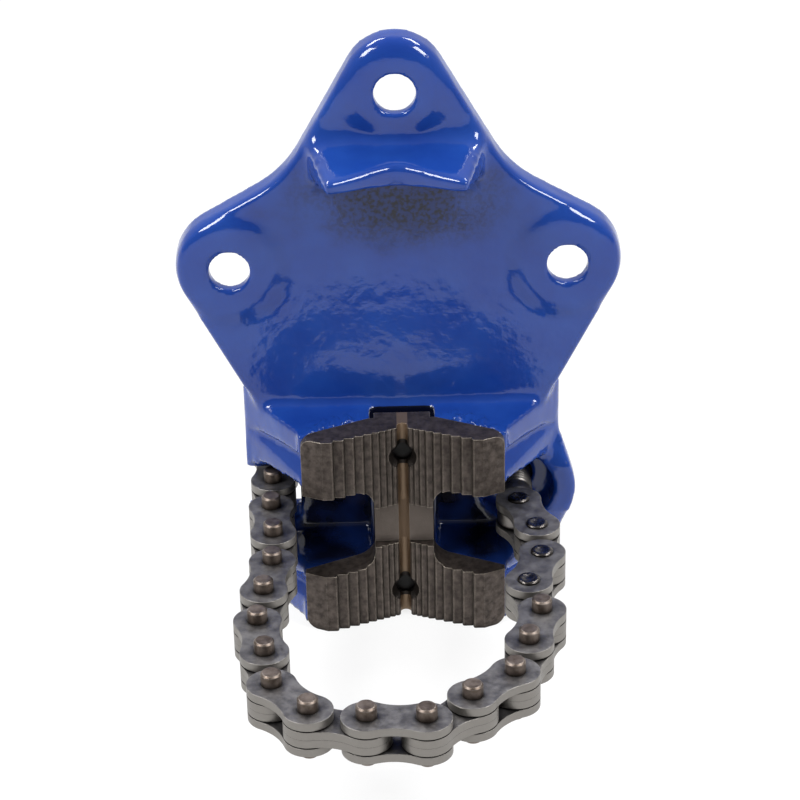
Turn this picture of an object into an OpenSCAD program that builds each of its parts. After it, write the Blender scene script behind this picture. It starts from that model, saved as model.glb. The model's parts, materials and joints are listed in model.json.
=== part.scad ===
// Chain pipe vise for the edge of a bench, in millimetres.
// It stands on its front end, as in the photograph: X is to the right, Y is away from the
// viewer, Z is up along the axis of a clamped pipe. The mounting face is the plane y = 0,
// and the front end face is z = 0. The chain lies in one level plane between two cheeks.

/* [Base plate] */
// Thickness of the plate
plate_t = 11.6; // [10:0.2:13]
// Outer radius of the two side lugs
side_lug_r = 20.7; // [19.5:0.1:21.5]
// Outer radius of the rear lug
rear_lug_r = 18.4; // [17.5:0.1:19.5]
// Width of the rim round the hollow back
rim_w = 5; // [4:0.5:6]
// Depth of the hollow back
hollow_depth = 7.4; // [5:0.2:8]
// Diameter of the three bolt holes
bolt_hole_d = 14.5; // [12:0.5:16]
// Distance between the two side holes
side_hole_gap = 118.6; // [116:0.2:122]
// Height of the side holes above the front end
side_hole_z = 131.5; // [128:0.5:136]
// Height of the rear hole above the front end
rear_hole_z = 196; // [190:1:202]

/* [Pipe rest] */
// Height of the rest's upper edge
rest_z = 174.7; // [172:0.5:177]
// Half the width of the rest's nose
rest_half_w = 23.8; // [20:0.2:26]
// How far the middle of the nose stands in front of the mounting face
rest_reach = 28; // [24:1:30]
// How much farther the ends of the nose reach
rest_vee = 12; // [8:1:14]

/* [Body] */
// Half the width of the body at the mounting face
body_half_w = 57.5; // [55:0.5:58]
// Height of the chain's middle plane
chain_z = 39; // [38.5:0.5:40]
// Height of the channel between the cheeks at the front
channel_h = 35; // [32:0.5:36]
// Thickness of the wall behind the channel
wall_t = 8; // [6:0.5:9]

/* [Jaw] */
// Height of the jaw along the pipe
jaw_h = 78; // [76:0.5:80]
// Half the width of the jaw
jaw_half_w = 36; // [34:0.5:36.5]
// Height of each toothed wing
wing_h = 23; // [20:0.5:24]
// Half the width of the neck between the wings
neck_half_w = 10.6; // [9:0.1:12]
// How far the bottom of the V stands in front of the mounting face
vee_y = 30.5; // [29:0.5:31]
// How far the tips stand in front of the mounting face
tip_y = 41.5; // [40:0.5:42]
// Teeth on each side of the groove
tooth_count = 9; // [6:1:9]

/* [Chain] */
// Distance between neighbouring pins
pitch = 19.05; // [19.05]
// Radius of the round ends of a plate
lobe_r = 8.2; // [7.6:0.1:8.4]
// Half the width of a plate at its waist
waist_half_w = 6.4; // [5.5:0.1:6.8]
// Thickness of a plate
link_t = 2.95; // [2.6:0.05:3]
// Diameter of a pin
link_pin_d = 6.8; // [6:0.1:7]
// How far a long pin stands out at each end
pin_stand_out = 4.4; // [3.5:0.1:4.6]

/* [Tightening screw] */
// Distance of the screw from the vise's middle
screw_x = 41.5; // [41:0.5:42]
// Diameter of the screw
screw_d = 12; // [10:0.5:12]
// Outer radius of the ear round the screw
ear_r = 22; // [21:0.5:22.5]
// Radius of the pocket in the ear
ear_bore_r = 14; // [13:0.5:14.5]
// Length of the tommy bar
bar_len = 120; // [100:5:130]
// Diameter of the tommy bar
bar_d = 10; // [8:0.5:11]
// How far the bar is slid upwards
bar_up = 30; // [28:1:40]

/* [Hidden] */

enamel = "royalblue";
hard_steel = "dimgray";
plate_steel = "slategray";
bright_steel = "silver";

eps = 0.01;
far = 240;              // longer than any piece, for shapes that are cut to size
fit = 0.05;             // running clearance on a radius
apart = 0.3;            // gap between faces that slide past each other

// Outline of the plate: directions square to its straight edges, in degrees
lower_edge_dir = -27.4;
shoulder_dir = 60.6;
neck_dir = 30;
shoulder_fillet_r = 40;
foot_corner_r = 5;
foot_corner_z = 74;
lug_off_hole = 1.3;     // a lug's centre lies this far from its hole
boss_rise = 1.5;        // bosses round the holes
side_boss_r = 18.6;
rear_boss_r = 16;
rib_w = 5;

// Body plan
side_start_y = 2;
side_end = [37.5, 31.5];
cheek_tip = [36.6, 35.8];
seat_half_w = 12;
seat_y = 23.5;
tongue_half_w = 10;     // tongue of the jaw in the groove of the seat
tongue_y = 19.5;
slot_y = 13.7;          // slot behind the tongue's upper end
cheek_top = jaw_h - 0.5;
body_top = 80.5;

// Fork that the free end of the chain hooks behind
prong_front_y = -3.4;
prong_back_y = 4.2;
fork_x = 37.9;
slot_half_h = 8.4;
fork_pocket_half_h = 11.8;

// Ear
ear_front_y = -9;
ear_back_y = 14;
ear_pocket_floor_y = 4;
barrel_r = 17;

// Jaw
jaw_screw_gap = 55.3;
groove_w = 3.8;
end_facet_x = 28.5;
end_drop = 3.5;         // how far the wing's end falls back from the tip
jaw_screw_start_y = 27;
head_h = 8;
tooth_first = 1.8;
tooth_growth = 0.36;
notch_depth = 0.4;

// Hub and screw
washer_t = 2;
hub_r = 14;
hub_start_y = ear_back_y + washer_t + apart;
hub_end_y = 70;
bar_y = 58;
thread_bore_end_y = 50;
screw_end_y = 36;
eye_end_y = -17.5;

// Chain: the first pin is in the screw's eye, the last one behind the fork
first_pin = [screw_x, -26.5];
first_heading = -73;
turns = [-15, -19, 27, -26, -1, -31, -3, -43, -10, -37, -30, 0, -13, -3, 8, 3, -4, 0];
flush_pins = 4;
stack_half = 2 * link_t + 0.45;

function sum_to(list, n) = n <= 0 ? 0 : list[n - 1] + sum_to(list, n - 1);
function heading(k) = first_heading + sum_to(turns, k);
function pin_at(k) =
    k == 0 ? first_pin
           : pin_at(k - 1) + pitch * [cos(heading(k - 1)), sin(heading(k - 1))];

function dir(a) = [cos(a), sin(a)];
// Where the two lines that lie d1 and d2 out from the origin, square to a1 and a2, meet
function meet(a1, d1, a2, d2) =
    [d1 * sin(a2) - d2 * sin(a1), d2 * cos(a1) - d1 * cos(a2)] / sin(a2 - a1);

module place_2d_upright() {
    rotate([90, 0, 0]) children();
}

// ---------------------------------------------------------------- vise casting

side_lug = [side_hole_gap / 2 - lug_off_hole, side_hole_z];
top_lug = [0, rear_hole_z + lug_off_hole];

// Arcs round the right half of the plate: [centre, radius, first angle, last angle, side],
// where side is 1 for an outward curve and -1 for an inward one
foot_corner = [
    (side_lug * dir(lower_edge_dir) + side_lug_r - foot_corner_r
        - foot_corner_z * sin(lower_edge_dir)) / cos(lower_edge_dir),
    foot_corner_z];
shoulder_fillet = meet(
    shoulder_dir, side_lug * dir(shoulder_dir) + side_lug_r + shoulder_fillet_r,
    neck_dir, top_lug * dir(neck_dir) + rear_lug_r + shoulder_fillet_r);
right_arcs = [
    [foot_corner, foot_corner_r, -90, lower_edge_dir, 1],
    [side_lug, side_lug_r, lower_edge_dir, shoulder_dir, 1],
    [shoulder_fillet, shoulder_fillet_r, shoulder_dir + 180, neck_dir + 180, -1],
    [top_lug, rear_lug_r, neck_dir, 90, 1]];

function arc_points(arc, inset, steps) =
    [for (i = [0 : steps]) arc[0] + (arc[1] - arc[4] * inset)
        * dir(arc[2] + (arc[3] - arc[2]) * i / steps)];
function right_side(inset) = [
    for (arc = right_arcs)
        for (p = arc_points(arc, inset, ceil(abs(arc[3] - arc[2]) / 6))) p];
function plate_outline(inset) =
    let (r = right_side(inset), n = len(r))
    concat(r, [for (i = [n - 2 : -1 : 0]) [-r[i][0], r[i][1]]]);

// The plate as layers from the back to the front: [depth in front of the face, inset]
plate_layers = [
    [0, 0.6], [0.6, 0], [plate_t - 2, 0.4], [plate_t - 0.8, 0.8], [plate_t - 0.2, 1.3],
    [plate_t, 2]];

module plate_blank() {
    rings = [for (l = plate_layers) plate_outline(l[1])];
    n = len(rings[0]);
    m = len(rings);
    points = [for (j = [0 : m - 1]) for (p = rings[j]) [p[0], -plate_layers[j][0], p[1]]];
    sides = [for (j = [0 : m - 2]) for (i = [0 : n - 1])
        [j * n + i, (j + 1) * n + i, (j + 1) * n + (i + 1) % n, j * n + (i + 1) % n]];
    // each face is closed by strips from a point on the right to its mirror on the left
    strips = [for (i = [0 : (n - 1) / 2 - 1])
        i + 1 == n - 2 - i ? [i, i + 1, n - 1 - i] : [i, i + 1, n - 2 - i, n - 1 - i]];
    back = strips;
    front = [for (s = strips) [for (k = [len(s) - 1 : -1 : 0]) s[k] + (m - 1) * n]];
    polyhedron(points, concat(back, sides, front), convexity = 6);
}

module body_plan() {
    polygon([
        [-body_half_w, 0], [-body_half_w, -side_start_y], [-side_end[0], -side_end[1]],
        [-cheek_tip[0], -cheek_tip[1]], [-seat_half_w, -seat_y], [seat_half_w, -seat_y],
        [cheek_tip[0], -cheek_tip[1]], [side_end[0], -side_end[1]],
        [body_half_w, -side_start_y], [body_half_w, 0]]);
}

// Upper cheek: its underside slopes down towards the wall
module upper_cheek() {
    half = channel_h / 2;
    intersection() {
        linear_extrude(cheek_top) body_plan();
        translate([-far / 2, 0, 0]) rotate([90, 0, 90]) linear_extrude(far)
            polygon([
                [1, chain_z + half - 3.4], [-side_start_y, chain_z + half - 3.4],
                [-13, chain_z + half - 2.4], [-cheek_tip[1], chain_z + half],
                [-2 * cheek_tip[1], chain_z + half + 3], [-2 * cheek_tip[1], cheek_top],
                [1, cheek_top]]);
    }
}

module lower_cheek() {
    translate([0, 0, 2 * chain_z]) mirror([0, 0, 1])
        intersection() {
            upper_cheek();
            cube([far, far, 4 * chain_z], center = true);
        }
    linear_extrude(2) body_plan();
}

// Leaf-shaped facet that leans in towards its top, and a thin groove above it, cut into one
// side of the upper cheek
module side_hollow() {
    run = [body_half_w - side_end[0], side_start_y - side_end[1]];
    length = norm(run);
    tip_z = cheek_top - 14.2;
    drop = 4.8;
    lean = 30;
    translate([-body_half_w, -side_start_y, 0])
        rotate([0, 0, atan2(run[1], run[0])]) {
            translate([1.8, 0, tip_z]) rotate([0, atan2(drop, length), 0]) rotate([-lean, 0, 0])
                place_2d_upright() linear_extrude(12)
                    polygon([[0, 0], [length + 3, 0], [length + 3, 9.1], [length - 6, 8.5],
                             [length / 2, 6.4], [4, 3.2], [0.3, 1.3]]);
            translate([0, 0.9, 0]) place_2d_upright() linear_extrude(3)
                polygon([[9, tip_z + 5.2], [length + 3, tip_z + 7.9], [length + 3, tip_z + 8.8],
                         [9, tip_z + 6]]);
        }
}

module pipe_rest() {
    root_half_w = 30.5;
    rest_t = 6;
    reach = rest_reach + rest_vee;
    intersection() {
        place_2d_upright() linear_extrude(far) polygon(plate_outline(1));
        linear_extrude(far)
            polygon([
                [-root_half_w, -plate_t / 2], [-root_half_w, -plate_t],
                [-rest_half_w, -reach], [-1.5, -rest_reach], [1.5, -rest_reach],
                [rest_half_w, -reach], [root_half_w, -plate_t], [root_half_w, -plate_t / 2]]);
        translate([-far / 2, 0, 0]) rotate([90, 0, 90]) linear_extrude(far)
            polygon([
                [-plate_t / 2, rest_z + 8], [-plate_t, rest_z + 7], [-plate_t - 2, rest_z + 4.6],
                [-plate_t - 5, rest_z + 3.2], [-reach - 1, rest_z],
                [-reach - 1, rest_z - 4], [-rest_reach, rest_z - rest_t],
                [-plate_t - 4, rest_z - rest_t - 2.2], [-plate_t - 1.5, rest_z - rest_t - 4],
                [-plate_t, rest_z - rest_t - 8], [-plate_t / 2, rest_z - rest_t - 9]]);
    }
}

// Ear round the tightening screw: a bulge in front, highest in the middle, and a barrel behind
module ear() {
    half = 23;
    intersection() {
        place_2d_upright() linear_extrude(-ear_front_y)
            hull() {
                translate([screw_x, chain_z]) circle(ear_r, $fn = 72);
                translate([20, chain_z - half]) square([body_half_w - 20, 2 * half]);
            }
        translate([-far / 2, 0, chain_z]) rotate([90, 0, 90]) linear_extrude(far)
            polygon([
                [0, -half - 1], [-side_start_y, -half - 1], [ear_front_y, -9], [ear_front_y, 9],
                [-side_start_y, half + 1], [0, half + 1]]);
    }
    place_2d_upright()
        translate([screw_x, chain_z, -ear_back_y])
            cylinder(r = barrel_r, h = ear_back_y + eps, $fn = 96);
}

module along_y(x, z, y) {
    translate([x, y, z]) rotate([-90, 0, 0]) children();
}

// Boss round a bolt hole, with a small chamfer round its face
module boss(x, z, r) {
    along_y(x, z, -plate_t - boss_rise) {
        cylinder(r1 = r - 0.7, r2 = r, h = 0.7, $fn = 96);
        translate([0, 0, 0.7]) cylinder(r = r, h = boss_rise + 1.5, $fn = 96);
    }
}

// Hollow behind the plate, with a rib behind the pipe rest and one down the middle
module hollow_back() {
    translate([0, 1, 0])
        place_2d_upright()
            linear_extrude(hollow_depth + 1)
                difference() {
                    polygon(plate_outline(rim_w));
                    translate([-far / 2, 0]) square([far, body_top + rim_w]);
                    translate([-far / 2, rest_z - 2 * rib_w]) square([far, rib_w]);
                    translate([-rib_w / 2, 0]) square([rib_w, rest_z - rib_w]);
                }
}

module fork_prongs() {
    depth = prong_back_y - prong_front_y;
    for (side = [-1, 1])
        translate([-body_half_w, prong_front_y,
                   chain_z + (side > 0 ? slot_half_h : -slot_half_h - 12)])
            cube([body_half_w - fork_x + 4, depth, 12]);
}

module vise_casting() {
    color(enamel) {
        casting_with_holes();
        fork_prongs();
    }
}

module casting_with_holes() {
    difference() {
        union() {
            difference() {
                plate_blank();
                hollow_back();
            }
            for (x = [-side_hole_gap / 2, side_hole_gap / 2])
                boss(x, side_hole_z, side_boss_r);
            boss(0, rear_hole_z, rear_boss_r);
            pipe_rest();
            linear_extrude(body_top)
                intersection() {
                    body_plan();
                    translate([-far / 2, -wall_t]) square([far, wall_t]);
                }
            upper_cheek();
            lower_cheek();
            translate([-seat_half_w, -seat_y, 0])
                cube([2 * seat_half_w, seat_y, cheek_top]);
            ear();
        }
        // bolt holes
        for (x = [-side_hole_gap / 2, side_hole_gap / 2])
            along_y(x, side_hole_z, -2 * plate_t) cylinder(d = bolt_hole_d, h = far, $fn = 96);
        along_y(0, rear_hole_z, -2 * plate_t) cylinder(d = bolt_hole_d, h = far, $fn = 96);
        // channel for the chain on the screw's side, and the pocket in the ear
        translate([seat_half_w + 2, -far, chain_z - fork_pocket_half_h - 3])
            cube([screw_x - seat_half_w - 2, far - wall_t, 2 * fork_pocket_half_h + 6]);
        along_y(screw_x, chain_z, -far) cylinder(r = ear_bore_r, h = far + ear_pocket_floor_y,
                                                 $fn = 96);
        along_y(screw_x, chain_z, 0) cylinder(d = screw_d + 1, h = 40, $fn = 72);
        // fork: room for the pins in front of the prongs, and the slot for the plates
        translate([-body_half_w - 1, -far / 2, chain_z - fork_pocket_half_h])
            cube([body_half_w + 1 - fork_x, far, 2 * fork_pocket_half_h]);
        // groove for the tongue of the jaw, and the slot behind the tongue's upper end
        translate([-tongue_half_w - apart, -seat_y - 1, -1])
            cube([2 * (tongue_half_w + apart), seat_y + 1 - tongue_y, cheek_top + 2]);
        translate([-tongue_half_w - 1.2, -seat_y - 1, cheek_top - 8])
            cube([2 * (tongue_half_w + 1.2), seat_y + 1 - slot_y, 20]);
        // screws of the jaw
        for (s = [-1, 1]) {
            along_y(0, chain_z + s * jaw_screw_gap / 2, -far / 2) cylinder(d = 8.8, h = far,
                                                                             $fn = 48);
            along_y(0, chain_z + s * jaw_screw_gap / 2, -head_h - 0.5)
                cylinder(d = 14.5, h = 20, $fn = 64);
        }
        side_hollow();
        mirror([1, 0, 0]) side_hollow();
        translate([0, 0, 2 * chain_z]) mirror([0, 0, 1]) {
            side_hollow();
            mirror([1, 0, 0]) side_hollow();
        }
    }
}

// ---------------------------------------------------------------- serrated jaw

// Where each tooth starts, counted from the groove outwards
function tooth_x(i) =
    groove_w / 2 + (end_facet_x - groove_w / 2)
        * (tooth_first * i + tooth_growth * i * (i - 1) / 2)
        / (tooth_first * tooth_count + tooth_growth * tooth_count * (tooth_count - 1) / 2);
function vee_depth(x) = vee_y + (tip_y - vee_y) * x / end_facet_x;

// One side of the toothed front, from the groove to the tip: each tooth is a step with a notch
function tooth_steps() = [
    for (i = [0 : tooth_count - 1])
        let (x0 = tooth_x(i), x1 = tooth_x(i + 1), y0 = vee_depth(x0), y1 = vee_depth(x1))
        for (p = [[x0, y0 - notch_depth], [x0 + notch_depth, y1 - 0.3], [x0 + 2 * notch_depth, y1],
                  [x1, y1]]) p];

module jaw_plan() {
    steps = tooth_steps();
    right = concat(
        steps,
        [[jaw_half_w, tip_y - end_drop], [jaw_half_w, seat_line(jaw_half_w)],
         [seat_half_w, seat_y], [tongue_half_w, seat_y], [tongue_half_w, tongue_y]]);
    last = len(right) - 1;
    polygon(concat(
        [for (p = right) [p[0], -p[1]]], [for (i = [last : -1 : 0]) [-right[i][0], -right[i][1]]]));
}

function seat_line(x) = seat_y + (x - seat_half_w) * (cheek_tip[1] - seat_y)
    / (cheek_tip[0] - seat_half_w);

// Front view of the jaw: two wings joined by a neck
module jaw_front() {
    fillet = 6;
    gap = jaw_h - 2 * wing_h;
    difference() {
        rounded_rect(2 * jaw_half_w, jaw_h, 4);
        for (s = [-1, 1]) {
            translate([s > 0 ? neck_half_w + fillet : -neck_half_w - fillet - 60, wing_h])
                square([60, gap]);
            translate([s > 0 ? neck_half_w : -neck_half_w - 60, wing_h + fillet])
                square([60, gap - 2 * fillet]);
            for (z = [wing_h + fillet, jaw_h - wing_h - fillet])
                translate([s * (neck_half_w + fillet), z]) circle(fillet, $fn = 64);
        }
    }
}

module rounded_rect(w, h, r) {
    translate([-w / 2 + r, 0]) square([w - 2 * r, h]);
    translate([-w / 2, r]) square([w, h - 2 * r]);
    for (x = [-w / 2 + r, w / 2 - r], z = [r, h - r])
        translate([x, z]) circle(r, $fn = 48);
}

module serrated_jaw() {
    milled_half_h = 8;
    color(hard_steel)
    difference() {
        intersection() {
            linear_extrude(jaw_h) jaw_plan();
            place_2d_upright() linear_extrude(far) jaw_front();
        }
        // plain milled band across the neck
        translate([-2 * neck_half_w, -far, chain_z - milled_half_h])
            cube([4 * neck_half_w, far - vee_y + 0.6, 2 * milled_half_h]);
        // round-bottomed groove down the middle
        translate([0, 1.1 - vee_y, -1]) {
            cylinder(d = groove_w, h = far, $fn = 48);
            translate([-groove_w / 2, -5, 0]) cube([groove_w, 5, far]);
        }
        // tapped holes with a small countersink, opened to full size for the screws behind
        for (s = [-1, 1])
            along_y(0, chain_z + s * jaw_screw_gap / 2, 0) {
                translate([0, 0, -jaw_screw_start_y]) cylinder(d = 8, h = 30, $fn = 48);
                translate([0, 0, -far / 2]) cylinder(d = 6.8, h = far / 2, $fn = 48);
                translate([0, 0, -vee_y - 3]) cylinder(d1 = 10.8, d2 = 6.8, h = 4, $fn = 48);
            }
    }
}

// Socket screws whose heads lie in the casting's back
module jaw_screws() {
    for (s = [-1, 1])
        color(hard_steel) along_y(0, chain_z + s * jaw_screw_gap / 2, 0)
            difference() {
                union() {
                    translate([0, 0, 0.5 - jaw_screw_start_y])
                        cylinder(d = 8, h = jaw_screw_start_y - head_h, $fn = 48);
                    translate([0, 0, -head_h - 0.5]) cylinder(d = 13, h = head_h, $fn = 64);
                }
                translate([0, 0, -5]) cylinder(r = 3.46, h = 8, $fn = 6);
            }
}

// ---------------------------------------------------------------- screw, nut and handle

module chain_screw() {
    eye_r = 7.6;
    neck_w = 11;
    color(bright_steel) {
        difference() {
            union() {
                translate([first_pin[0], first_pin[1], chain_z - link_t])
                    linear_extrude(2 * link_t) {
                        circle(eye_r, $fn = 72);
                        translate([-neck_w / 2, 0]) square([neck_w, eye_end_y - first_pin[1] + 1]);
                    }
                along_y(screw_x, chain_z, eye_end_y)
                    rotate_extrude($fn = 72)
                        polygon([
                            [0, 0], [screw_d / 2 - 1, 0], [screw_d / 2, 1],
                            [screw_d / 2, screw_end_y - eye_end_y - 1],
                            [screw_d / 2 - 1, screw_end_y - eye_end_y],
                            [0, screw_end_y - eye_end_y]]);
            }
            translate([first_pin[0], first_pin[1], 0])
                cylinder(d = link_pin_d + 2 * fit, h = far, $fn = 48);
        }
    }
}

module thrust_washer() {
    color(bright_steel) along_y(screw_x, chain_z, ear_back_y)
        difference() {
            cylinder(r = hub_r, h = washer_t, $fn = 96);
            translate([0, 0, -1]) cylinder(d = screw_d + 0.8, h = washer_t + 2, $fn = 72);
        }
}

// Long nut with a collar against the washer and a round boss for the bar
module hub_nut() {
    r = screw_d / 2 + fit;
    length = hub_end_y - hub_start_y;
    boss = bar_y - hub_start_y;
    bore_end = thread_bore_end_y - hub_start_y;
    color(plate_steel)
    difference() {
        along_y(screw_x, chain_z, hub_start_y)
            rotate_extrude($fn = 96)
                polygon([
                    [r, 0], [hub_r, 0], [hub_r, 4], [hub_r - 2.5, 6.5], [hub_r - 3.5, 12],
                    [hub_r - 3.5, boss - 13],
                    [hub_r - 1, boss - 9], [hub_r, boss - 4], [hub_r, boss + 5],
                    [hub_r - 1.5, boss + 9],
                    [hub_r - 5, length - 0.8], [hub_r - 7, length], [0, length], [0, bore_end], [r, bore_end]]);
        translate([screw_x, bar_y, chain_z - far / 2])
            cylinder(d = bar_d + 2 * fit, h = far, $fn = 64);
    }
}

module tommy_bar() {
    color(bright_steel)
        translate([screw_x, bar_y, chain_z + bar_up - bar_len / 2])
            cylinder(d = bar_d, h = bar_len, $fn = 64);
}

// Pressed-on end cap, open end upwards along +Z at the origin
module knob() {
    seat = 7;
    difference() {
        rotate_extrude($fn = 72)
            polygon([[0, -3], [5, -3], [7, -1.6], [8, 0.6], [8, 5], [7.2, seat], [0, seat]]);
        cylinder(d = bar_d, h = 20, $fn = 64);
    }
}

module lower_knob() {
    color(bright_steel) translate([screw_x, bar_y, chain_z + bar_up - bar_len / 2]) knob();
}

module upper_knob() {
    color(bright_steel) translate([screw_x, bar_y, chain_z + bar_up + bar_len / 2])
        mirror([0, 0, 1]) knob();
}

// ---------------------------------------------------------------- chain

// Plan of a plate whose pins are at [0, 0] and [pitch, 0]
module plate_plan(bore_r) {
    half = pitch / 2;
    // radius of the hollow at the waist, so that it runs smoothly into both round ends
    hollow_r = (half * half + waist_half_w * waist_half_w - lobe_r * lobe_r)
        / (2 * (lobe_r - waist_half_w));
    hollow_y = waist_half_w + hollow_r;
    touch = [half * hollow_r / (lobe_r + hollow_r), lobe_r * hollow_y / (lobe_r + hollow_r)];
    difference() {
        union() {
            for (x = [0, pitch])
                translate([x, 0]) circle(lobe_r, $fn = 64);
            difference() {
                translate([half - touch[0], -touch[1]]) square([2 * touch[0], 2 * touch[1]]);
                for (s = [-1, 1])
                    translate([half, s * hollow_y]) circle(hollow_r, $fn = 96);
            }
        }
        for (x = [0, pitch])
            translate([x, 0]) circle(bore_r, $fn = 48);
    }
}

// Moves a link drawn along X to the link that starts at pin k
module at_link(k) {
    translate([pin_at(k)[0], pin_at(k)[1], chain_z]) rotate([0, 0, heading(k)]) children();
}

// Two plates on the outside of the chain, one above and one below
module outer_plates(i) {
    color(plate_steel) at_link(2 * i - 2)
        for (z = [stack_half - link_t, -stack_half])
            translate([0, 0, z]) linear_extrude(link_t) plate_plan(link_pin_d / 2);
}

// Two plates side by side in the middle of the chain
module inner_plates(i) {
    gap = 0.06;
    color(plate_steel) at_link(2 * i - 1)
        for (z = [gap / 2, -link_t])
            translate([0, 0, z]) linear_extrude(link_t - gap / 2)
                plate_plan(link_pin_d / 2 + fit);
}

// The two pins of one outer link: flush and riveted near the screw, long elsewhere
module link_pins(i) {
    color(bright_steel) at_link(2 * i - 2)
        for (j = [0, 1]) {
            flush = 2 * i - 2 + j < flush_pins;
            half = stack_half + (flush ? 0.5 : pin_stand_out);
            r = link_pin_d / 2;
            chamfer = flush ? 0.9 : 0.6;
            drop = flush ? 0.4 : 0.6;
            translate([j * pitch, 0, 0])
                rotate_extrude($fn = 48)
                    polygon([
                        [0, -half], [r - chamfer, -half], [r, -half + drop],
                        [r, half - drop], [r - chamfer, half], [0, half]]);
        }
}

vise_casting();
serrated_jaw();
jaw_screws();
chain_screw();
thrust_washer();
hub_nut();
tommy_bar();
upper_knob();
lower_knob();
for (i = [1 : 10])
    outer_plates(i);
for (i = [1 : 10])
    link_pins(i);
for (i = [1 : 9])
    inner_plates(i);
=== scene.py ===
"""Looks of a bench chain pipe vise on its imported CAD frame: casting, jaw, screw and chain."""
import json
import math

import bmesh
import bpy
import numpy as np
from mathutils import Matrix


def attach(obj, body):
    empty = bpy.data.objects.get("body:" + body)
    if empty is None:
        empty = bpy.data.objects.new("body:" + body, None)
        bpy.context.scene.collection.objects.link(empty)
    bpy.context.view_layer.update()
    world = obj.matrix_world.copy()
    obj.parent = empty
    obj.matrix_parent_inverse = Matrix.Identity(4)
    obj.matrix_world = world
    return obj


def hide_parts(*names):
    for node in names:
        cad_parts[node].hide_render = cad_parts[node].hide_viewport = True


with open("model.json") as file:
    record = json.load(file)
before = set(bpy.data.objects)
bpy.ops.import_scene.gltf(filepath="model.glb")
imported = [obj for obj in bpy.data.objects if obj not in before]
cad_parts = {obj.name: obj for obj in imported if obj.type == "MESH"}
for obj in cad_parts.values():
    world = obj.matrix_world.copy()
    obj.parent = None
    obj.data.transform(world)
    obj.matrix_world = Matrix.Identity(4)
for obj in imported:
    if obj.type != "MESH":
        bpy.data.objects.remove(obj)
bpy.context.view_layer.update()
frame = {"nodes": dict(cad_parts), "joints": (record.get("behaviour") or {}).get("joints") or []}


# ---- Vise casting
# The body, base plate, pipe rest, cheeks, fork and ear are one grey iron sand casting. Its corners
# are soft from the pattern and its skin is slightly grainy. It is dipped in blue gloss enamel.

def linear(colour):
    """sRGB hex to linear: ((c + 0.055) / 1.055) ** 2.4, or c / 12.92 at 0.04045 and below."""
    c = np.array([int(colour[i:i + 2], 16) for i in (1, 3, 5)]) / 255
    return (*np.where(c > 0.04045, ((c + 0.055) / 1.055) ** 2.4, c / 12.92), 1.0)


def add_node(tree, kind, settings=None, links=None):
    """Adds a node, sets its own fields, and fills its sockets with values or with other sockets."""
    node = tree.nodes.new(kind)
    for name, value in (settings or {}).items():
        setattr(node, name, value)
    for name, value in (links or {}).items():
        if isinstance(value, bpy.types.NodeSocket):
            tree.links.new(value, node.inputs[name])
        else:
            node.inputs[name].default_value = value
    return node


def new_material(name):
    """An empty node material: its tree, and its output node."""
    material = bpy.data.materials.new(name)
    material.use_nodes = True
    tree = material.node_tree
    tree.nodes.clear()
    return material, tree, add_node(tree, "ShaderNodeOutputMaterial")


def set_ramp(node, stops):
    """Fills a colour ramp from (position, linear colour) pairs."""
    ramp = node.color_ramp
    while len(ramp.elements) < len(stops):
        ramp.elements.new(0.5)
    for element, (place, colour) in zip(ramp.elements, stops):
        element.position = place
        element.color = colour
    return node


def soft_skin(node, name, voxel, rounds, ease, swell):
    """The CAD solid as a casting: welded, rebuilt on a voxel grid, then relaxed.
    In each round a vertex moves by the share ease(place) of the way to its neighbours' mean.
    At the end it moves up by swell(place)."""
    mesh = frame["nodes"][node].data.copy()
    welded = bmesh.new()
    welded.from_mesh(mesh)
    bmesh.ops.remove_doubles(welded, verts=welded.verts, dist=1e-6)
    welded.to_mesh(mesh)
    welded.free()
    solid = bpy.data.objects.new(name, mesh)
    bpy.context.scene.collection.objects.link(solid)
    grid = solid.modifiers.new("grid", "REMESH")
    grid.mode = "VOXEL"
    grid.voxel_size = voxel
    seen = solid.evaluated_get(bpy.context.evaluated_depsgraph_get())
    skin = bpy.data.meshes.new_from_object(seen)
    bpy.data.objects.remove(solid)
    points = np.empty(len(skin.vertices) * 3)
    skin.vertices.foreach_get("co", points)
    points = points.reshape(-1, 3)
    edges = np.empty(len(skin.edges) * 2, int)
    skin.edges.foreach_get("vertices", edges)
    a, b = edges.reshape(-1, 2).T
    degree = np.bincount(np.concatenate([a, b]), minlength=len(points))[:, None]
    share = ease(points)[:, None]
    for _ in range(rounds):
        total = np.stack([np.bincount(a, points[b, i], len(points))
                          + np.bincount(b, points[a, i], len(points)) for i in range(3)], 1)
        points = points + share * (total / degree - points)
    points[:, 2] += swell(points)
    skin.vertices.foreach_set("co", points.ravel())
    skin.shade_smooth()
    skin.materials.clear()
    piece = bpy.data.objects.new(name, skin)
    bpy.context.scene.collection.objects.link(piece)
    return piece


# in millimetres: x and z of each bolt hole with the radius of its boss, the screw's x, and the
# level of the chain
bosses = ((-59.3, 131.5, 18.6), (59.3, 131.5, 18.6), (0, 196, 16))
screw_x = 41.5
chain_z = 39.0


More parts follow.
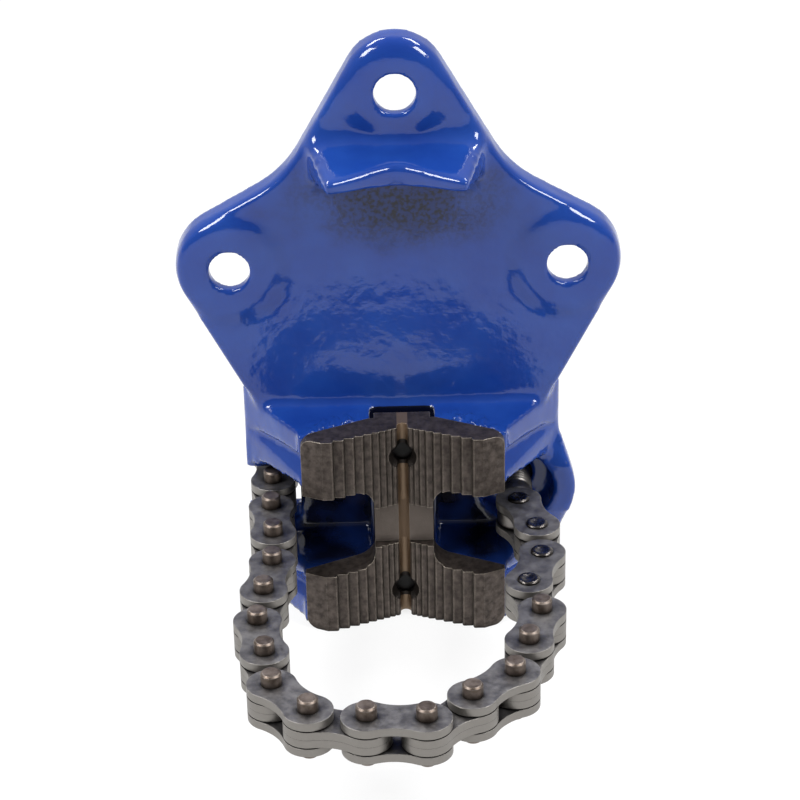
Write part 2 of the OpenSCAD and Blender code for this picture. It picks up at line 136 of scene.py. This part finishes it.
def casting_ease(p):
    """Least where a face is drilled, machined or fits another piece, and most in the corners that
    the pattern maker filled with a wax fillet: the rest's root, the cheeks' root and the ear."""
    x, y, z = p.T * 1000
    level = np.abs(z - chain_z)
    from_holes = [(np.hypot(x - hole_x, z - hole_z), boss_r) for hole_x, hole_z, boss_r in bosses]
    drilled = np.any([away < 9.2 for away, _ in from_holes], 0)
    fork = (x < -36) & (level < 14)
    screw_hole = (x > 22) & (np.hypot(x - screw_x, level) < 16) & (y < 6)
    seat = (np.abs(x) < 36) & (y < -13) & (z < 79) & (level > 22)
    rest_root = (np.abs(x) < 33) & (y > -21) & (y < -8) & (np.abs(z - 179) < 8)
    under_rest = (np.abs(x) < 33) & (y > -20) & (y < -8) & (np.abs(z - 164) < 6)
    cheek_root = (y > -15) & (y < -5) & (np.abs(z - 80) < 4)
    ear_root = (x > 45) & (y > -13) & (y < 1) & (np.abs(level - 20) < 10)
    boss_root = (y < -9) & np.any([np.abs(away - boss_r) < 3.2 for away, boss_r in from_holes], 0)
    nose = (np.abs(x) < 34) & (y < -14) & (z > 160)
    facets = (np.abs(x) > 37) & (y < -4) & (z > 56) & (z < 76)
    filled = rest_root | under_rest | cheek_root | ear_root | boss_root
    back = y > -0.8
    # the first zone that holds a vertex counts
    shares = ((drilled, 0.03), (fork | screw_hole, 0.07), (back, 0.1), (facets, 0.06),
              (seat, 0.12), (filled, 0.65), (nose, 0.38))
    return np.select([zone for zone, _ in shares], [share for _, share in shares], 0.13)


def paint_lumps(p):
    """Runs of paint gathered behind the jaw's seat, in metres of height: ridges 4.6 mm apart that
    point away from the seat, 2.1 mm high at it and gone 10 mm behind it."""
    step, height, length = 4.6, 0.0021, 10
    x, y, z = p.T * 1000
    aside = np.abs(x)
    behind = y + 23.5 + 0.5 * (aside - 12)
    ridges = np.sin(2 * np.pi * (aside + 0.9 * np.sin(0.9 * behind + 0.4 * x)) / step)
    fade = np.clip(1 - behind / length, 0, 1) ** 0.6
    fade = fade * np.clip((aside - 14) / 3, 0, 1) * np.clip((35 - aside) / 4, 0, 1)
    on_top = (z > 76) & (z < 79) & (y > -36) & (behind > -0.5)
    return np.where(on_top, height * fade * np.clip(ridges, 0, 1) ** 0.8, 0)


casting = soft_skin("vise_casting", "cast_body", voxel=0.00115, rounds=12, ease=casting_ease,
                    swell=paint_lumps)
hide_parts("vise_casting")
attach(casting, "casting")

# Gloss enamel on cast iron: royal blue with a clear wet shine, pulled smooth over the sand grain,
# wavy where it ran, lumpy where it gathered round the jaw, and rough, thin and speckled in the
# corner under the pipe rest, where the mould was patched. Painted shade darkens that corner under
# the rest, the chain's channel, the slot behind the jaw's tongue and recesses narrower than about 7
# mm.
enamel, tree, out = new_material("blue_gloss_enamel")
place = add_node(tree, "ShaderNodeTexCoord").outputs["Object"]
apart = add_node(tree, "ShaderNodeSeparateXYZ", {}, {0: place})
aside = add_node(tree, "ShaderNodeMath", {"operation": "ABSOLUTE"}, {0: apart.outputs["X"]})
# runs and pools of paint, about 16 mm apart
waves = add_node(tree, "ShaderNodeTexNoise", {},
                 {"Vector": place, "Scale": 62.0, "Detail": 2.0, "Roughness": 0.45})
# sand grain under the paint, about 1.6 mm
grain = add_node(tree, "ShaderNodeTexNoise", {},
                 {"Vector": place, "Scale": 620.0, "Detail": 3.0, "Roughness": 0.6})
# the rough patch is an ellipsoid round the corner under the rest, 46 mm to each side
centre = add_node(tree, "ShaderNodeVectorMath", {"operation": "SUBTRACT"},
                  {0: place, 1: (0.0, -0.014, 0.157)})
scaled = add_node(tree, "ShaderNodeVectorMath", {"operation": "MULTIPLY"},
                  {0: centre.outputs[0], 1: (1 / 0.046, 1 / 0.02, 1 / 0.019)})
reach = add_node(tree, "ShaderNodeVectorMath", {"operation": "LENGTH"}, {0: scaled.outputs[0]})
edge = add_node(tree, "ShaderNodeMath", {"operation": "MULTIPLY_ADD"},
                {0: waves.outputs[0], 1: 1.1, 2: reach.outputs["Value"]})
patch = add_node(tree, "ShaderNodeMapRange", {"interpolation_type": "SMOOTHSTEP"},
                 {"Value": edge.outputs[0], "From Min": 1.6, "From Max": 0.85})
# none of it reaches the rest's nose, more than 21 mm in front of the mounting face, or the hollow
# back, less than 8.5 mm in front of it
by_plate = add_node(tree, "ShaderNodeMapRange", {},
                    {"Value": apart.outputs["Y"], "From Min": -0.021, "From Max": -0.015})
off_back = add_node(tree, "ShaderNodeMapRange", {},
                    {"Value": apart.outputs["Y"], "From Min": -0.0085, "From Max": -0.0100})
for mask in (by_plate, off_back):
    patch = add_node(tree, "ShaderNodeMath", {"operation": "MULTIPLY"},
                     {0: patch.outputs[0], 1: mask.outputs[0]})
rough = add_node(tree, "ShaderNodeMath", {"operation": "MULTIPLY_ADD"},
                 {0: patch.outputs[0], 1: 0.75, 2: 0.08})
rough_bump = add_node(tree, "ShaderNodeBump", {},
                      {"Strength": rough.outputs[0], "Distance": 0.0003,
                       "Height": grain.outputs[0]})
wave_bump = add_node(tree, "ShaderNodeBump", {},
                     {"Strength": 0.6, "Distance": 0.0006, "Height": waves.outputs[0],
                      "Normal": rough_bump.outputs[0]})
# orange peel in the enamel, about 4 mm
peel = add_node(tree, "ShaderNodeTexNoise", {},
                {"Vector": place, "Scale": 250.0, "Detail": 2.0, "Roughness": 0.5})
peel_bump = add_node(tree, "ShaderNodeBump", {},
                     {"Strength": 0.5, "Distance": 0.00022, "Height": peel.outputs[0],
                      "Normal": wave_bump.outputs[0]})
blue = set_ramp(add_node(tree, "ShaderNodeValToRGB", {}, {"Fac": waves.outputs[0]}),
                [(0.3, linear("#143582")), (0.7, linear("#1b3f8c"))])
# specks where the sand grain shows through the thin paint
specks = add_node(tree, "ShaderNodeMapRange", {},
                  {"Value": grain.outputs[0], "From Min": 0.56, "From Max": 0.40,
                   "To Min": 0.45, "To Max": 1.0})
# painted shade under the rest: the whole patch is mixed at least 45 % of the way to a dark grey
# blue, and fully at the sand specks
thin = add_node(tree, "ShaderNodeMath", {"operation": "MULTIPLY"},
                {0: specks.outputs[0], 1: patch.outputs[0]})
# inputs 6 and 7 of a colour mix are its two colours, and output 2 is the mixed one
paint_colour = add_node(tree, "ShaderNodeMix", {"data_type": "RGBA"},
                        {0: thin.outputs[0], 6: blue.outputs[0], 7: linear("#131829")})
# painted shade, in patches, in the channel between the cheeks, which is 35 mm high, and in the slot
# behind the upper end of the jaw's tongue, 22.4 mm wide
level = add_node(tree, "ShaderNodeMath", {"operation": "SUBTRACT"},
                 {0: apart.outputs["Z"], 1: chain_z / 1000})
level = add_node(tree, "ShaderNodeMath", {"operation": "ABSOLUTE"}, {0: level.outputs[0]})
between = add_node(tree, "ShaderNodeMapRange", {},
                   {"Value": level.outputs[0], "From Min": 0.0188, "From Max": 0.0165})
inside = add_node(tree, "ShaderNodeMapRange", {},
                  {"Value": aside.outputs[0], "From Min": 0.0430, "From Max": 0.0370})
deep = add_node(tree, "ShaderNodeMapRange", {},
                {"Value": apart.outputs["Y"], "From Min": -0.0060, "From Max": -0.0078})
shade_patches = add_node(tree, "ShaderNodeMapRange", {},
                {"Value": waves.outputs[0], "From Min": 0.30, "From Max": 0.62,
                 "To Min": 0.55, "To Max": 1.0})
channel_shade = between
for mask in (inside, deep, shade_patches):
    channel_shade = add_node(tree, "ShaderNodeMath", {"operation": "MULTIPLY"},
                       {0: channel_shade.outputs[0], 1: mask.outputs[0]})
in_slot = add_node(tree, "ShaderNodeMath", {"operation": "COMPARE"},
                   {0: apart.outputs["Y"], 1: -0.0190, 2: 0.0059})
beside = add_node(tree, "ShaderNodeMath", {"operation": "LESS_THAN"},
                  {0: aside.outputs[0], 1: 0.0118})
above = add_node(tree, "ShaderNodeMath", {"operation": "COMPARE"},
                 {0: apart.outputs["Z"], 1: 0.0720, 2: 0.0052})
slot = in_slot
for mask in (beside, above):
    slot = add_node(tree, "ShaderNodeMath", {"operation": "MULTIPLY"},
                    {0: slot.outputs[0], 1: mask.outputs[0]})
dark = add_node(tree, "ShaderNodeMath", {"operation": "MAXIMUM"},
                {0: channel_shade.outputs[0], 1: slot.outputs[0]})
# painted shade in recesses narrower than about 7 mm
open_share = add_node(tree, "ShaderNodeAmbientOcclusion", {"samples": 8},
                      {"Distance": 0.007}).outputs["AO"]
recess_shade = add_node(tree, "ShaderNodeMapRange", {},
                  {"Value": open_share, "From Min": 0.50, "From Max": 0.25,
                   "To Min": 0.0, "To Max": 0.9})
dark = add_node(tree, "ShaderNodeMath", {"operation": "MAXIMUM"},
                {0: dark.outputs[0], 1: recess_shade.outputs[0]})
# the painted shade's colour: a near black blue
paint_colour = add_node(tree, "ShaderNodeMix", {"data_type": "RGBA"},
                        {0: dark.outputs[0], 6: paint_colour.outputs[2], 7: linear("#090d1f")})
shine = add_node(tree, "ShaderNodeMapRange", {},
                 {"Value": patch.outputs[0], "To Min": 0.10, "To Max": 0.34})
paint = add_node(tree, "ShaderNodeBsdfPrincipled", {},
                 {"Base Color": paint_colour.outputs[2], "Roughness": shine.outputs[0],
                  "IOR": 1.52, "Normal": peel_bump.outputs[0]})
tree.links.new(paint.outputs[0], out.inputs["Surface"])
casting.data.materials.append(enamel)


# ---- Serrated jaw
# One block of tool steel, milled with rows of saw teeth in a V, hardened and oil-blackened.
# Handling has rubbed the oxide thin on its corners. The groove down the middle shows temper brown.

def steel(name, dark, light, rubbed, roughness, patch_mm, corner_mm, grain_mm, metal=0.85,
          pit_mm=0.08):
    """A bare or oxidised steel: noise patches of two colours, a rubbed colour where the bevelled
    normal turns away from the true one, painted shade in the corners, and a grain of pits in the
    bump."""
    material, tree, out = new_material(name)
    place = add_node(tree, "ShaderNodeTexCoord").outputs["Object"]
    patches = add_node(tree, "ShaderNodeTexNoise", {},
                       {"Vector": place, "Scale": 1000 / patch_mm, "Detail": 4.0,
                        "Roughness": 0.62})
    grain = add_node(tree, "ShaderNodeTexNoise", {},
                     {"Vector": place, "Scale": 1000 / grain_mm, "Detail": 2.0, "Roughness": 0.7})
    corner = add_node(tree, "ShaderNodeBevel", {"samples": 6}, {"Radius": corner_mm / 1000})
    flat = add_node(tree, "ShaderNodeNewGeometry").outputs["Normal"]
    turn = add_node(tree, "ShaderNodeVectorMath", {"operation": "DOT_PRODUCT"},
                    {0: corner.outputs[0], 1: flat})
    worn = add_node(tree, "ShaderNodeMapRange", {},
                    {"Value": turn.outputs["Value"], "From Min": 0.995, "From Max": 0.85})
    thin = add_node(tree, "ShaderNodeMath", {"operation": "MULTIPLY", "use_clamp": True},
                    {0: worn.outputs[0], 1: grain.outputs[0]})
    colour = set_ramp(add_node(tree, "ShaderNodeValToRGB", {}, {"Fac": patches.outputs[0]}),
                      [(0.35, linear(dark)), (0.66, linear(light))])
    mixed = add_node(tree, "ShaderNodeMix", {"data_type": "RGBA"},
                     {0: thin.outputs[0], 6: colour.outputs[0], 7: linear(rubbed)})
    # painted shade in the corners, within 2.5 mm of another face
    open_share = add_node(tree, "ShaderNodeAmbientOcclusion", {"samples": 8},
                          {"Distance": 0.0025}).outputs["AO"]
    corner_shade = add_node(tree, "ShaderNodeMapRange", {},
                     {"Value": open_share, "From Min": 0.95, "From Max": 0.45,
                      "To Min": 0.0, "To Max": 0.85})
    mixed = add_node(tree, "ShaderNodeMix", {"data_type": "RGBA"},
                     {0: corner_shade.outputs[0], 6: mixed.outputs[2], 7: linear("#120f0d")})
    dull = add_node(tree, "ShaderNodeMapRange", {},
                    {"Value": patches.outputs[0], "From Min": 0.3, "From Max": 0.7,
                     "To Min": roughness - 0.07, "To Max": roughness + 0.08})
    bump = add_node(tree, "ShaderNodeBump", {},
                    {"Strength": 0.35, "Distance": pit_mm / 1000, "Height": grain.outputs[0],
                     "Normal": corner.outputs[0]})
    skin = add_node(tree, "ShaderNodeBsdfPrincipled", {},
                    {"Base Color": mixed.outputs[2], "Metallic": metal,
                     "Roughness": dull.outputs[0], "Normal": bump.outputs[0]})
    tree.links.new(skin.outputs[0], out.inputs["Surface"])
    return material, mixed, skin


def tint(material, skin, under, mask, colour):
    """Lays a colour over a steel's own where the mask is 1, and returns the new colour's node."""
    over = add_node(material.node_tree, "ShaderNodeMix", {"data_type": "RGBA"},
                    {0: mask, 6: under.outputs[2], 7: linear(colour)})
    material.node_tree.links.new(over.outputs[2], skin.inputs["Base Color"])
    return over


def dress(nodes, material):
    """Puts one material on CAD nodes."""
    for node in nodes:
        mesh = frame["nodes"][node].data
        mesh.materials.clear()
        mesh.materials.append(material)


jaw_oxide, colour, skin = steel("oil_blackened_tool_steel", "#3b3430", "#5f5650", "#d2c7b6",
                                roughness=0.44, patch_mm=2.4, corner_mm=0.45, grain_mm=0.6,
                                metal=0.75, pit_mm=0.35)
tree = jaw_oxide.node_tree
apart = add_node(tree, "ShaderNodeSeparateXYZ", {},
                 {0: add_node(tree, "ShaderNodeTexCoord").outputs["Object"]})
# the neck was milled last, 16 mm high round the chain's level, and is cleaner
level = add_node(tree, "ShaderNodeMath", {"operation": "COMPARE"},
                 {0: apart.outputs["Z"], 1: chain_z / 1000, 2: 0.008})
cleaner = 0.8
milled = add_node(tree, "ShaderNodeMath", {"operation": "MULTIPLY"},
                  {0: level.outputs[0], 1: cleaner})
colour = tint(jaw_oxide, skin, colour, milled.outputs[0], "#766d66")
duller = add_node(tree, "ShaderNodeMapRange", {},
                  {"Value": milled.outputs[0], "From Max": cleaner,
                   "To Min": 0.46, "To Max": 0.72})
tree.links.new(duller.outputs[0], skin.inputs["Roughness"])
# the groove down the middle, 3.8 mm wide, kept the straw brown of the temper
groove = add_node(tree, "ShaderNodeMath", {"operation": "COMPARE"},
                  {0: apart.outputs["X"], 1: 0.0, 2: 0.00192})
brown = add_node(tree, "ShaderNodeMath", {"operation": "MULTIPLY"}, {0: groove.outputs[0], 1: 0.85})
# but not in the two holes, 27.65 mm above and below the chain's level and 5 mm in radius
from_level = add_node(tree, "ShaderNodeMath", {"operation": "SUBTRACT"},
                      {0: apart.outputs["Z"], 1: chain_z / 1000})
from_level = add_node(tree, "ShaderNodeMath", {"operation": "ABSOLUTE"}, {0: from_level.outputs[0]})
from_hole = add_node(tree, "ShaderNodeMath", {"operation": "SUBTRACT"},
                     {0: from_level.outputs[0], 1: 0.02765})
across = add_node(tree, "ShaderNodeCombineXYZ", {},
                  {0: apart.outputs["X"], 2: from_hole.outputs[0]})
from_axis = add_node(tree, "ShaderNodeVectorMath", {"operation": "LENGTH"}, {0: across.outputs[0]})
hole = add_node(tree, "ShaderNodeMath", {"operation": "LESS_THAN"},
                {0: from_axis.outputs["Value"], 1: 0.0050})
brown = add_node(tree, "ShaderNodeMath", {"operation": "SUBTRACT", "use_clamp": True},
                 {0: brown.outputs[0], 1: hole.outputs[0]})
colour = tint(jaw_oxide, skin, colour, brown.outputs[0], "#8d7862")
# painted shade: the walls of the two holes are darker
tint(jaw_oxide, skin, colour, hole.outputs[0], "#2c2724")
dress(["serrated_jaw"], jaw_oxide)
screw_oxide, _, _ = steel("black_oxide_screw_steel", "#100f0f", "#191817", "#37342f",
                          roughness=0.6, patch_mm=4, corner_mm=0.3, grain_mm=0.4, metal=0.3)
dress(["jaw_screws"], screw_oxide)


# ---- Tightening screw
# The eye is forged flat and bored for the chain's first pin. Its shank is rolled with a coarse
# thread and slides in the ear without turning, because the chain holds the eye.

def skinned(rings):
    """A closed skin over rings of points: quads between neighbouring rings, and a fan of triangles
    to the middle of the first and of the last ring."""
    m, n = rings.shape[:2]
    at = np.arange(m * n).reshape(m, n)
    beside = np.roll(at, -1, 1)
    quads = np.stack([at[:-1], beside[:-1], beside[1:], at[1:]], -1).reshape(-1, 4)
    first = np.stack([np.full(n, m * n), beside[0], at[0]], -1)
    last = np.stack([np.full(n, m * n + 1), at[-1], beside[-1]], -1)
    points = np.concatenate([rings.reshape(-1, 3), [rings[0].mean(0), rings[-1].mean(0)]])
    return points, quads.tolist() + first.tolist() + last.tolist()


def ring_skin(rings):
    """A closed skin over rings that run round and meet: quads only, both ways round."""
    m, n = rings.shape[:2]
    at = np.arange(m * n).reshape(m, n)
    beside, ahead = np.roll(at, -1, 1), np.roll(at, -1, 0)
    quads = np.stack([at, beside, np.roll(beside, -1, 0), ahead], -1).reshape(-1, 4)
    return rings.reshape(-1, 3), quads.tolist()


def add_piece(name, skins, body, material):
    """Puts closed skins, in millimetres, into one mesh that rides on a body."""
    points, faces, count = [], [], 0
    for skin_points, skin_faces in skins:
        points.append(skin_points / 1000)
        faces += [[corner + count for corner in face] for face in skin_faces]
        count += len(skin_points)
    mesh = bpy.data.meshes.new(name)
    mesh.from_pydata(np.concatenate(points).tolist(), [], faces)
    mesh.shade_smooth()
    mesh.materials.append(material)
    thing = bpy.data.objects.new(name, mesh)
    bpy.context.scene.collection.objects.link(thing)
    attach(thing, body)
    return thing


def rounded(turn, power):
    """Cosine and sine of a turn, each raised to a power below 1 with its sign kept: a square with
    round corners, or a circle at power 1."""
    c, s = np.cos(turn), np.sin(turn)
    return np.sign(c) * np.abs(c) ** power, np.sign(s) * np.abs(s) ** power


rolled, _, _ = steel("rolled_oiled_steel", "#6a6664", "#87837f", "#b5b1aa",
                     roughness=0.34, patch_mm=5, corner_mm=0.5, grain_mm=0.3, metal=0.95)
pin_y, eye_half = -26.5, 2.9
turn = np.linspace(0, 2 * np.pi, 48, endpoint=False)
# shank: 12 mm over a thread of 1.75 mm pitch, 1 mm deep, which fades out near the eye
shank_r, shank_length, shank_y, thread_pitch, end_chamfer = 6, 53.5, -17.5, 1.75, 0.9
along = np.linspace(0, shank_length, 260)
phase = (along[:, None] / thread_pitch - turn / (2 * np.pi)) % 1
fade = np.clip((along - 4) / 4, 0, 1) * np.clip((shank_length - along) / 1.2 + 0.2, 0, 1)
radius = shank_r - fade[:, None] * np.clip(1.3 * np.abs(2 * phase - 1) - 0.15, 0, 1)
radius[[0, -1]] -= end_chamfer
shank = np.stack([screw_x + radius * np.cos(turn),
                  along[:, None] + shank_y + 0 * turn,
                  chain_z - radius * np.sin(turn)], -1)
# eye: a ring with a section 4.1 mm wide and 5.8 mm high, its corners rounded by the forging die
section = np.linspace(0, 2 * np.pi, 40, endpoint=False)
across, up = rounded(section, 0.4)
ring_turn = np.linspace(0, 2 * np.pi, 64, endpoint=False)[:, None]
from_pin = 5.52 + 2.05 * across
eye_ring = np.stack([screw_x + from_pin * np.cos(ring_turn), pin_y + from_pin * np.sin(ring_turn),
                     chain_z + eye_half * up + 0 * ring_turn], -1)[:, ::-1]
# neck: from a flat bar 10.6 by 5.8 mm at the eye to a round of 10.8 mm in the shank's end, 6 mm on
neck_r = 5.4
share = np.linspace(0, 1, 24)[:, None]
ease = share * share * (3 - 2 * share)
wide, high = rounded(turn, 0.45)
neck = np.stack([screw_x + (5.3 + 0.1 * ease) * wide * (1 - ease) + neck_r * ease * np.cos(turn),
                 -21.2 + 6.0 * share + 0 * turn,
                 chain_z - eye_half * high * (1 - ease) - neck_r * ease * np.sin(turn)], -1)
eye_screw = add_piece("eye_screw", [skinned(shank), ring_skin(eye_ring), skinned(neck)],
                      "screw", rolled)
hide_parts("chain_screw")


# ---- Washer, hub and tommy bar
# The hub is a turned long nut that bears on a hardened washer. The drawn steel bar slides through
# its cross bore between two knobs, which are pressed on its ends.

bright, _, _ = steel("drawn_bright_steel", "#8f8d8a", "#a8a6a2", "#c9c7c3",
                     roughness=0.28, patch_mm=6, corner_mm=0.4, grain_mm=0.3, metal=1.0)
dress(["thrust_washer", "tommy_bar", "upper_knob", "lower_knob"], bright)
hub_steel, _, _ = steel("phosphated_turned_steel", "#56585a", "#6c6d6e", "#97978f",
                        roughness=0.4, patch_mm=6, corner_mm=0.5, grain_mm=0.3)
dress(["hub_nut"], hub_steel)


# ---- Leaf chain
# Nineteen links of blanked carbon steel plates on hardened pins. The plates are tumbled and left
# dull grey, with lighter sheared edges. The pins are ground, oiled and brownish on their flanks.

plate_steel, colour, skin = steel("blanked_dull_steel", "#5d5b5c", "#7e7c7c", "#a9a49c",
                                  roughness=0.44, patch_mm=4, corner_mm=0.5, grain_mm=0.5,
                                  pit_mm=0.14)
tree = plate_steel.node_tree
facing = add_node(tree, "ShaderNodeSeparateXYZ", {},
                  {0: add_node(tree, "ShaderNodeTexCoord").outputs["Normal"]})
# 1 on a plate's flat faces and 0 on its sheared edges
upright = add_node(tree, "ShaderNodeMath", {"operation": "ABSOLUTE"}, {0: facing.outputs["Z"]})
sheared = add_node(tree, "ShaderNodeMapRange", {},
                   {"Value": upright.outputs[0], "From Min": 0.7, "From Max": 0.3,
                    "To Min": 0.0, "To Max": 0.8})
tint(plate_steel, skin, colour, sheared.outputs[0], "#8c8882")
dress([f"outer_plates_{i}" for i in range(1, 11)] + [f"inner_plates_{i}" for i in range(1, 10)],
      plate_steel)
pin_steel, _, _ = steel("ground_pin_steel", "#5f534a", "#80756d", "#a8a39c",
                        roughness=0.42, patch_mm=3, corner_mm=0.5, grain_mm=0.4, metal=0.9,
                        pit_mm=0.12)
dress([f"link_pins_{i}" for i in range(1, 11)], pin_steel)

# The four pins nearest the screw are cut short and spun over: a low ring with a dimple in it. The
# profile's radii and heights over the plate are in millimetres, from the rim to the middle.
spun_steel, _, _ = steel("spun_pin_steel", "#4d4947", "#6b6763", "#aaa7a1",
                         roughness=0.26, patch_mm=3, corner_mm=0.6, grain_mm=0.4, metal=1.0)
head_r = np.array([3.6, 3.92, 3.88, 3.6, 3.2, 2.7, 2.2, 1.7, 1.1, 0.5])
head_h = np.array([-0.1, 0.05, 0.4, 0.74, 0.92, 0.95, 0.86, 0.72, 0.62, 0.58])
head = np.stack([np.outer(head_r, np.cos(turn)), np.outer(head_r, np.sin(turn)),
                 np.repeat(head_h[:, None], len(turn), 1)], -1)
plate_top = 6.35
pins = [np.array(joint["pos_m"]) * 1000 for joint in frame["joints"]
        if joint["name"] in [f"chain_pivot_{i}" for i in range(1, 5)]]
for link in (1, 2):
    heads = [skinned(head * (1, side, side) + pin + (0, 0, side * plate_top))
             for pin in pins[2 * link - 2:2 * link] for side in (1, -1)]
    add_piece(f"spun_heads_{link}", heads, f"outer_link_{link}", spun_steel)


# ---- Studio
# Not part of the object: a plain white floor level with the front end, two softboxes high in front
# at the sides, two strips high behind, and a room that is pale behind the object and dark behind
# the camera.

floor_mesh = bpy.data.meshes.new("floor")
floor_mesh.from_pydata([(-6, -6, 0), (6, -6, 0), (6, 6, 0), (-6, 6, 0)], [], [(0, 1, 2, 3)])
floor = bpy.data.objects.new("floor", floor_mesh)
bpy.context.scene.collection.objects.link(floor)
paper, tree, out = new_material("white_paper_floor")
rays = add_node(tree, "ShaderNodeLightPath")
seen = add_node(tree, "ShaderNodeMath", {"operation": "MAXIMUM"},
                {0: rays.outputs["Is Camera Ray"], 1: rays.outputs["Is Glossy Ray"]})
seen = add_node(tree, "ShaderNodeMath", {"operation": "MAXIMUM"},
                {0: seen.outputs[0], 1: rays.outputs["Is Transmission Ray"]})
glow_share = add_node(tree, "ShaderNodeMath", {"operation": "MULTIPLY"},
                      {0: seen.outputs[0], 1: 0.8})
matt = add_node(tree, "ShaderNodeBsdfDiffuse", {}, {"Color": linear("#f2f2f2")})
glow = add_node(tree, "ShaderNodeEmission", {}, {"Color": (1, 1, 1, 1), "Strength": 1.02})
both = add_node(tree, "ShaderNodeMixShader", {},
                {0: glow_share.outputs[0], 1: matt.outputs[0], 2: glow.outputs[0]})
tree.links.new(both.outputs[0], out.inputs["Surface"])
floor_mesh.materials.append(paper)

room = bpy.data.worlds.new("studio_room")
bpy.context.scene.world = room
room.use_nodes = True
tree = room.node_tree
tree.nodes.clear()
ahead = add_node(tree, "ShaderNodeSeparateXYZ", {},
                 {0: add_node(tree, "ShaderNodeTexCoord").outputs["Generated"]})
# from -1 straight in front of the vise to 1 straight behind it
dusk = set_ramp(
    add_node(tree, "ShaderNodeValToRGB", {},
             {"Fac": add_node(tree, "ShaderNodeMapRange", {},
                              {"Value": ahead.outputs["Y"], "From Min": -1.0,
                               "From Max": 1.0}).outputs[0]}),
    [(0.0, (0.10, 0.10, 0.11, 1)), (0.45, (0.28, 0.28, 0.29, 1)), (1.0, (0.75, 0.75, 0.76, 1))])
sky = add_node(tree, "ShaderNodeBackground", {}, {"Color": dusk.outputs[0], "Strength": 1.0})
tree.links.new(sky.outputs[0], add_node(tree, "ShaderNodeOutputWorld").inputs["Surface"])


def lamp(name, place, target, size, watts):
    """A softbox, width by height in metres, at a place and turned to face a target."""
    light = bpy.data.lights.new(name, "AREA")
    light.shape = "RECTANGLE"
    light.size, light.size_y = size
    light.energy = watts
    box = bpy.data.objects.new(name, light)
    box.location = place
    toward = np.array(target, float) - np.array(place, float)
    pitch = math.atan2(math.hypot(toward[0], toward[1]), -toward[2])
    yaw = math.atan2(toward[1], toward[0]) - math.pi / 2
    box.rotation_euler = (pitch, 0, yaw)
    bpy.context.scene.collection.objects.link(box)


lamp("left_softbox", (-0.88, -0.47, 1.12), (0, -0.03, 0.08), size=(0.5, 0.5), watts=16)
lamp("right_softbox", (0.88, -0.47, 1.12), (0, -0.03, 0.08), size=(0.5, 0.5), watts=15)
lamp("left_strip", (-0.45, 0.42, 0.95), (0, -0.02, 0.1), size=(0.45, 0.12), watts=4)
lamp("right_strip", (0.45, 0.42, 0.95), (0, -0.02, 0.1), size=(0.45, 0.12), watts=4)

camera = bpy.data.cameras.new("photo_camera")
camera.sensor_width = 36
camera.lens = 112.5
eye = bpy.data.objects.new("photo_camera", camera)
eye.location = (-0.0005, -0.809, 0.4978)
eye.rotation_euler = (math.radians(62.27393), math.radians(1.15078), math.radians(-0.60478))
bpy.context.scene.collection.objects.link(eye)
bpy.context.scene.camera = eye
bpy.context.scene.view_settings.view_transform = "Standard"
